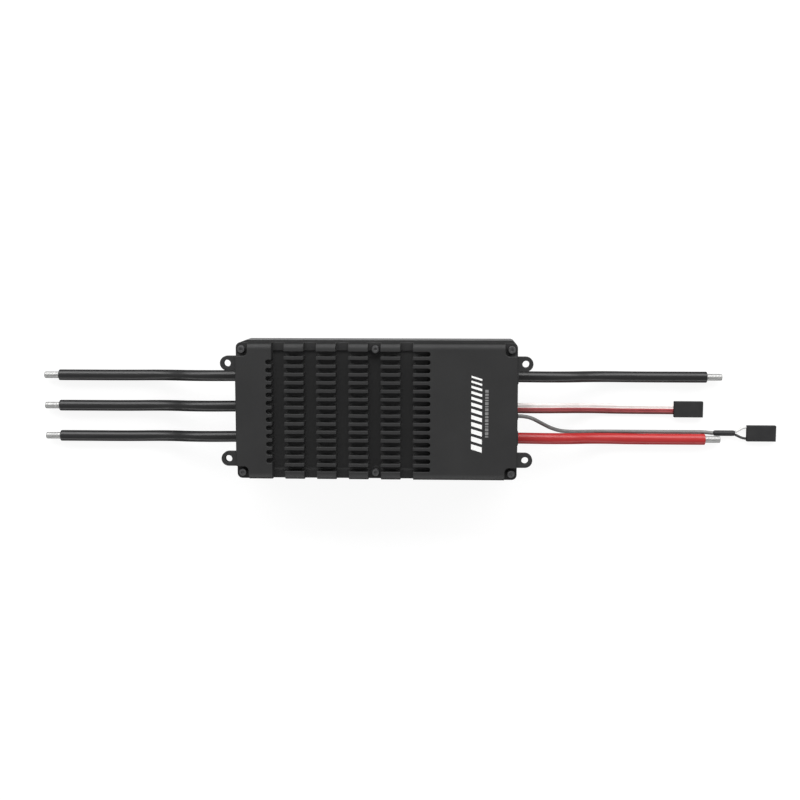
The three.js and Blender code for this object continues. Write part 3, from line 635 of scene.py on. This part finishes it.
def ribbon_outline():
    """The outline of three strands joined by narrow webs, and each stretch's strand number."""
    white, red, dark = STRAND_WIDTHS
    arcs = [
        (0, (RIBBON_WIDTH - white) / 2, -180 + WEB_ANGLE, 180 - WEB_ANGLE),
        (1, (dark - white) / 2, WEB_ANGLE, 180 - WEB_ANGLE),
        (2, (dark - RIBBON_WIDTH) / 2, WEB_ANGLE, 360 - WEB_ANGLE),
        (1, (dark - white) / 2, 180 + WEB_ANGLE, 360 - WEB_ANGLE),
    ]
    shape = []
    paint = []
    for strand, centre, start, stop in arcs:
        steps = max(8, round((stop - start) / ARC_STEP))
        half_width = STRAND_WIDTHS[strand] / 2
        for i in range(steps + 1):
            angle = math.radians(start + (stop - start) * i / steps)
            shape.append((centre + half_width * math.cos(angle), STRAND_RADIUS * math.sin(angle)))
            paint.append(strand)
    return shape, paint


def add_ribbon():
    route = Route(RIBBON_ROUTE)
    shape, paint = ribbon_outline()
    stations = [(s, 1.0) for s in even(0.0, route.length, CORD_STEP)]
    ribbon = sweep("signal_lead_strands", route, stations, shape, [WHITE_PVC, RED_PVC, BROWN_PVC],
                   paint)
    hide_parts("signal_lead")
    return ribbon, route


# the data cable, the heat-shrink over its end and the two wires that fan out to the plug
CABLE_ROUTE = [
    (0.0615, -0.0043, 0.016), (0.065, -0.0043, 0.016), (0.069, -0.0043, 0.016),
    (0.073, -0.0045, 0.01595), (0.077, -0.0055, 0.0152), (0.0814, -0.0079, 0.013),
    (0.0867, -0.0109, 0.0095), (0.091, -0.0126, 0.007), (0.095, -0.01345, 0.005),
    (0.100, -0.0139, 0.0028), (0.106, -0.014, 0.0014), (0.112, -0.01398, 0.001),
    (0.118, -0.01395, 0.00097), (0.126, -0.01395, 0.00097), (0.134, -0.01395, 0.00097),
    (0.142, -0.01395, 0.00097), (0.150, -0.01395, 0.00097), (0.158, -0.01395, 0.00097),
    (0.1655, -0.01398, 0.00105), (0.1703, -0.0144, 0.0015),
]
SLEEVE_ROUTE = [(0.1706, -0.0144, 0.0015), (0.1814, -0.0144, 0.0015)]
UPPER_WIRE_ROUTE = [
    (0.1817, -0.0136, 0.00145), (0.1833, -0.0128, 0.0014), (0.1852, -0.0117, 0.00135),
    (0.18705, -0.01125, 0.00135),
]
LOWER_WIRE_ROUTE = [
    (0.1817, -0.0152, 0.00145), (0.1833, -0.016, 0.0014), (0.1852, -0.0168, 0.00135),
    (0.18705, -0.01715, 0.00135),
]
CABLE_RADIUS = 0.00095
CABLE_SIDES = 28
SLEEVE_RADIUS = 0.00145
SLEEVE_STEP = 0.0004
SLEEVE_TAPER = 0.0016  # length over which the heat-shrink draws in
WIRE_RADIUS = 0.00065
WIRE_SIDES = 20
WIRE_STEP = 0.0004


def add_cable():
    route = Route(CABLE_ROUTE)
    stations = [(s, 1.0) for s in even(0.0, route.length, CORD_STEP)]
    skin = circle(CABLE_RADIUS, CABLE_SIDES)
    cable = sweep("data_cable_sheath", route, stations, skin, [GREY_PVC])
    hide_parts("data_cable")
    return cable, route


def add_sleeve():
    """Heat-shrink drawn in at both ends, with the cable's shape showing faintly through it."""
    route = Route(SLEEVE_ROUTE)
    rng = random.Random(7)
    length = route.length
    stations = [(0.0, 0.72), (0.0001, 0.80)]
    for s in even(SLEEVE_STEP, length - SLEEVE_STEP, SLEEVE_STEP):
        from_end = min(s, length - s) / SLEEVE_TAPER
        drawn_in = 0.12 * max(0.0, 1.0 - from_end) ** 2
        wrinkle = 0.015 * rng.random()
        stations.append((s, 1.0 - drawn_in - wrinkle))
    stations += [(length - 0.0001, 0.80), (length, 0.72)]
    skin = circle(SLEEVE_RADIUS, CABLE_SIDES)
    sleeve = sweep("data_cable_heat_shrink", route, stations, skin, [SHRINK])
    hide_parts("data_cable_sleeve")
    return sleeve


def add_wire(node, points, material):
    route = Route(points)
    stations = [(s, 1.0) for s in even(0.0, route.length, WIRE_STEP)]
    wire = sweep(node + "_insulation", route, stations, circle(WIRE_RADIUS, WIRE_SIDES), [material])
    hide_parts(node)
    return wire


CONTACT_PITCH = 0.00254
CONTACT_OFFSETS = (-CONTACT_PITCH, 0.0, CONTACT_PITCH)
CONTACT_OUTER = 0.00044  # half widths
CONTACT_INNER = 0.00034
CONTACT_MOUTH = 0.0006  # distances in from the plug's face
CONTACT_FLOOR = 0.0034
CONTACT_BACK = 0.0036


def add_contacts(node, name):
    """Thin square brass sockets inside the plug's three mouths."""
    low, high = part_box(node)
    middle_y = (low.y + high.y) / 2
    middle_z = (low.z + high.z) / 2
    profile = [
        (CONTACT_BACK, CONTACT_OUTER), (CONTACT_MOUTH, CONTACT_OUTER),
        (CONTACT_MOUTH, CONTACT_INNER), (CONTACT_FLOOR, CONTACT_INNER),
    ]
    form = bmesh.new()
    for offset in CONTACT_OFFSETS:
        rings = []
        for depth, half in profile:
            x = high.x - depth
            corners = [(-half, -half), (half, -half), (half, half), (-half, half)]
            rings.append([form.verts.new((x, middle_y + offset + u, middle_z + v)) for u, v in corners])
        for first, second in zip(rings, rings[1:]):
            for i in range(4):
                j = (i + 1) % 4
                form.faces.new((first[i], first[j], second[j], second[i]))
        form.faces.new(rings[0])
        form.faces.new(rings[-1])
    return from_bmesh(name, form, [BRASS], SQUARE_SHARP)


def add_plug(node):
    """A socket housing with rounded edges, and the contacts in its mouths."""
    low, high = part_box(node)
    middle = (low + high) / 2
    cuts = {1: [middle.y + offset for offset in CONTACT_OFFSETS], 2: [middle.z]}
    housing = crafted(node, node + "_housing", [PLUG], SMALL_ROUNDING, cuts, segments=3)
    return [housing, add_contacts(node, node + "_contacts")]


signal_plug = add_plug("signal_plug")
data_plug = add_plug("data_plug")

ribbon_piece, ribbon_route = add_ribbon()

cable_piece, cable_route = add_cable()
sleeve_piece = add_sleeve()
white_wire = add_wire("data_wire_white", UPPER_WIRE_ROUTE, WHITE_WIRE)
black_wire = add_wire("data_wire_black", LOWER_WIRE_ROUTE, BLACK_PVC)

# ---------------------------------------------------------------- case

COVER_LOOKS = [CASE, CASE_EDGE, CASE_WALL_SHADE, CASE_CHANNELS_LIT, CASE_SLOTS_SHADE_AND_LIGHT, CASE_FRONT_HIGHLIGHT]


def both_ways(*places):
    """Each place and its mirror image across the middle."""
    return [sign * place for place in places for sign in (-1.0, 1.0)]


def cover_paint(middle, normal):
    """Number of a cover face's look, told from the face's middle and direction."""
    # outer side walls get the darker copy of the case: painted shade
    if abs(normal.y) > 0.85 and abs(middle.y) > SIDE_WALL_Y:
        return WALL
    # the long front edge's rounding gets its painted highlight
    turned_forward = normal.y < -0.02 and abs(normal.x) < 0.1
    if turned_forward and middle.y < FRONT_EDGE[0] and middle.z > ROUNDING_Z:
        return FRONT
    among_fins = SLOT_ENDS[0] - NEAR < middle.x < SLOT_ENDS[1] + NEAR and abs(middle.y) < RAIL_Y
    if not among_fins or not SLOT_FLOOR - NEAR < middle.z < TOP - NEAR:
        return PLAIN
    # channel floors get a paler copy of the case, which is painted light; slots get painted shade near the
    # top and painted light lower down
    in_channel = min(abs(middle.x - channel) for channel in CHANNELS) < CHANNEL_HALF - NEAR
    return CHANNEL_FLOOR if in_channel else SLOT


# the cuts run down the middle of every slot, fin, channel and hole, and along the channels' edges,
# so that no face has a hole in it
half_pitches = [step * FIN_PITCH / 2 for step in range(-2 * SLOT_ROWS, 2 * SLOT_ROWS + 1)]
channel_edges = [channel + side for channel in CHANNELS for side in (-CHANNEL_HALF, CHANNEL_HALF)]
cover_cuts = {
    0: [*CHANNELS, *channel_edges, *both_ways(SCREW_CENTRE[0], LUG_CENTRE[0])],
    1: [*half_pitches, *both_ways(SCREW_CENTRE[1], LUG_CENTRE[1])],
}
lower_case_cuts = {0: [0.0, *both_ways(SCREW_CENTRE[0])], 1: [0.0, *both_ways(SCREW_CENTRE[1])]}
motor_seal_cuts = {1: [-LEAD_PITCH, 0.0, LEAD_PITCH], 2: [EXIT_Z]}
battery_seal_cuts = {1: [-LEAD_PITCH, RIBBON_ROUTE[0][1], CABLE_ROUTE[0][1], LEAD_PITCH], 2: [EXIT_Z]}

crafted("heatsink_cover", "heatsink_cover_casting", COVER_LOOKS, CASE_ROUNDING, cover_cuts,
        paint=cover_paint)
crafted("lower_case", "lower_case_shell", [LOWER_CASE_FLOOR_LIT, LOWER_EDGE_FLOOR_LIT], CASE_ROUNDING,
        lower_case_cuts)
crafted("motor_lead_seal", "motor_lead_seal_block", [RUBBER], SMALL_ROUNDING, motor_seal_cuts)
crafted("battery_lead_seal", "battery_lead_seal_block", [RUBBER], SMALL_ROUNDING, battery_seal_cuts)

# printed marks on the wide panel, which run along Y
INK_TOP = 0.00004  # the ink's upper face lies this far above the panel, its lower face half as far
STRIPE_START = -0.0195
STRIPES_LENGTH = 0.0375
STRIPE_X = (0.0463, 0.0515)
STRIPE_SLANT = 0.0016
STRIPE_WIDTHS = (
    0.0026, 0.0024, 0.0022, 0.0020, 0.0019, 0.0017, 0.0016, 0.0014, 0.0013, 0.0012, 0.0010, 0.0009)
DASH_START = -0.012
DASH_STOP = 0.0105
DASH_X = (0.0530, 0.0546)
DASH_WIDTHS = (0.0006, 0.0010, 0.0014)
DASH_GAP = 0.0005


def add_mark(form, near, far, start, width, slant):
    """A bar of ink from x near to x far; slant is how much later it starts at near than at far."""
    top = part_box("heatsink_cover")[1].z
    corners = [(far, start), (far, start + width), (near, start + width + slant), (near, start + slant)]
    prism(form, corners, top + INK_TOP * 0.5, top + INK_TOP)


def add_stripes():
    """A row of slanted bars that get narrower."""
    form = bmesh.new()
    gap = (STRIPES_LENGTH - STRIPE_SLANT - sum(STRIPE_WIDTHS)) / (len(STRIPE_WIDTHS) - 1)
    y = STRIPE_START
    for width in STRIPE_WIDTHS:
        add_mark(form, *STRIPE_X, y, width, STRIPE_SLANT)
        y += width + gap
    from_bmesh("printed_stripes", form, [WHITE_INK], SQUARE_SHARP)


def add_dashes():
    """A thin line of dashes of three widths."""
    form = bmesh.new()
    rng = random.Random(3)
    y = DASH_START
    while y < DASH_STOP:
        width = rng.choice(DASH_WIDTHS)
        add_mark(form, *DASH_X, y, width, 0.0)
        y += width + DASH_GAP
    from_bmesh("printed_dashes", form, [GREY_INK], SQUARE_SHARP)


add_stripes()
add_dashes()

# ---------------------------------------------------------------- cover screws

HEAD_RADIUS = 0.0019
HEAD_HEIGHT = 0.002
HEAD_CHAMFER = 0.0002
KNURL_DEPTH = 0.00006
HEX_HALF = 0.00075  # half the socket's width across its flats
HEX_CHAMFER = 0.00012
HEX_DEPTH = 0.001
SHANK_RADIUS = 0.001
THREAD_ROOT = SHANK_RADIUS * 0.86
THREAD_PITCH = 0.0004
THREAD_START = 0.0006  # distances up from the screw's point
THREAD_STOP = 0.008
SCREW_SIDES = 48


def add_screw(node):
    """A knurled cap head with a chamfered hexagon socket, and a threaded shank."""
    low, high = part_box(node)
    centre = (low + high) / 2
    top = high.z
    under = top - HEAD_HEIGHT
    form = bmesh.new()

    def ring(z, radius, knurl=0.0, hexagon=False):
        verts = []
        for i in range(SCREW_SIDES):
            angle = 2 * math.pi * i / SCREW_SIDES
            r = radius - (knurl if i % 2 else 0.0)
            if hexagon:
                r = radius / math.cos((angle + math.pi / 6) % (math.pi / 3) - math.pi / 6)
            verts.append(form.verts.new((centre.x + r * math.cos(angle), centre.y + r * math.sin(angle), z)))
        return verts

    # from the point upwards: shank and thread, head, then down into the socket
    rings = [ring(low.z, SHANK_RADIUS / 2), ring(low.z + THREAD_PITCH, THREAD_ROOT)]
    z = low.z + THREAD_START
    while z < low.z + THREAD_STOP:
        rings += [ring(z, SHANK_RADIUS), ring(z + THREAD_PITCH / 2, THREAD_ROOT)]
        z += THREAD_PITCH
    rings += [
        ring(z, SHANK_RADIUS),
        ring(under, SHANK_RADIUS),
        ring(under, HEAD_RADIUS - HEAD_CHAMFER / 2),
        ring(under + HEAD_CHAMFER / 2, HEAD_RADIUS, KNURL_DEPTH),
        ring(top - HEAD_CHAMFER * 1.5, HEAD_RADIUS, KNURL_DEPTH),
        ring(top - HEAD_CHAMFER, HEAD_RADIUS - KNURL_DEPTH),
        ring(top, HEAD_RADIUS - KNURL_DEPTH - HEAD_CHAMFER),
        ring(top, HEX_HALF * 1.16),
        ring(top - HEX_CHAMFER, HEX_HALF, hexagon=True),
        ring(top - HEX_DEPTH, HEX_HALF, hexagon=True),
    ]
    for first, second in zip(rings, rings[1:]):
        for i in range(SCREW_SIDES):
            j = (i + 1) % SCREW_SIDES
            form.faces.new((first[i], first[j], second[j], second[i]))
    for last, z in ((rings[0], low.z), (rings[-1], top - HEX_DEPTH * 1.25)):
        middle = form.verts.new((centre.x, centre.y, z))
        for i in range(SCREW_SIDES):
            form.faces.new((last[i], last[(i + 1) % SCREW_SIDES], middle))
    piece = from_bmesh(node + "_cap_head", form, [SCREW], MACHINED_SHARP)
    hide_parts(node)


for name in sorted(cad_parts):
    if name.startswith("cover_screw"):
        add_screw(name)

# ---------------------------------------------------------------- inside the case

# node: slot, look, how far its rounded edges reach
INSIDE = {
    "power_board": ("board", LAMINATE, 0.0001), "control_board": ("board", LAMINATE, 0.0001),
    "thermal_pad": ("pad", PAD, 0.00015), "microcontroller": ("package", PACKAGE, 0.00012),
    "bus_bar_positive": ("copper", COPPER, 0.0002), "bus_bar_negative": ("copper", COPPER, 0.0002),
    "signal_connector": ("connector", NYLON, 0.0002), "board_header": ("connector", NYLON, 0.0002),
}
for name in sorted(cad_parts):
    if name.startswith("mosfet"):
        INSIDE[name] = ("package", PACKAGE, 0.0002)
    elif name.startswith("input_capacitor"):
        INSIDE[name] = ("capacitor", CAN, 0.0003)
    elif "_terminal_" in name:
        INSIDE[name] = ("copper", COPPER, 0.0003)
for name, (slot, material, width) in INSIDE.items():
    crafted(name, name + "_finished", [material], width)

# the CAD's own solids that stay: the board screws and the two gaskets
for name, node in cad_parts.items():
    if not node.hide_render:
        node.data.materials.clear()
        node.data.materials.append(SCREW if "screw" in name else RUBBER)

# ---------------------------------------------------------------- floor

FLOOR_HALF = 3.0
FLOOR_Z = -0.00002
FLOOR_PATCH = 0.25
FLOOR_DARK = (0.16, 0.16, 0.16)
FLOOR_LIGHT = (0.18, 0.18, 0.18)
FLOOR_GLOW = 0.87
FLOOR_BOUNCE = 0.13  # how pale the floor is to the object above it


def add_floor():
    """A pale floor that glows like a light table to the camera and is duller to the object above it."""
    look = Look("pale_floor", specular=0.1)
    look.colour(look.mix(look.between(look.noise(FLOOR_PATCH), 0.0, 1.0), FLOOR_DARK, FLOOR_LIGHT))
    look.shader.inputs["Roughness"].default_value = 0.9
    look.shader.inputs["Emission Color"].default_value = WHITE
    look.shader.inputs["Emission Strength"].default_value = FLOOR_GLOW
    dull = look.tree.nodes.new("ShaderNodeBsdfDiffuse")
    dull.inputs["Color"].default_value = (FLOOR_BOUNCE, FLOOR_BOUNCE, FLOOR_BOUNCE, 1.0)
    path = look.tree.nodes.new("ShaderNodeLightPath")
    choice = look.tree.nodes.new("ShaderNodeMixShader")
    look.link(path.outputs["Is Camera Ray"], choice.inputs[0])
    look.link(dull.outputs[0], choice.inputs[1])
    look.link(look.shader.outputs[0], choice.inputs[2])
    look.link(choice.outputs[0], look.tree.nodes["Material Output"].inputs["Surface"])
    mesh = bpy.data.meshes.new("floor")
    corners = [(-1, -1), (1, -1), (1, 1), (-1, 1)]
    mesh.from_pydata([(x * FLOOR_HALF, y * FLOOR_HALF, FLOOR_Z) for x, y in corners], [], [(0, 1, 2, 3)])
    mesh.materials.append(look.material)
    floor = bpy.data.objects.new("floor", mesh)
    bpy.context.scene.collection.objects.link(floor)


add_floor()
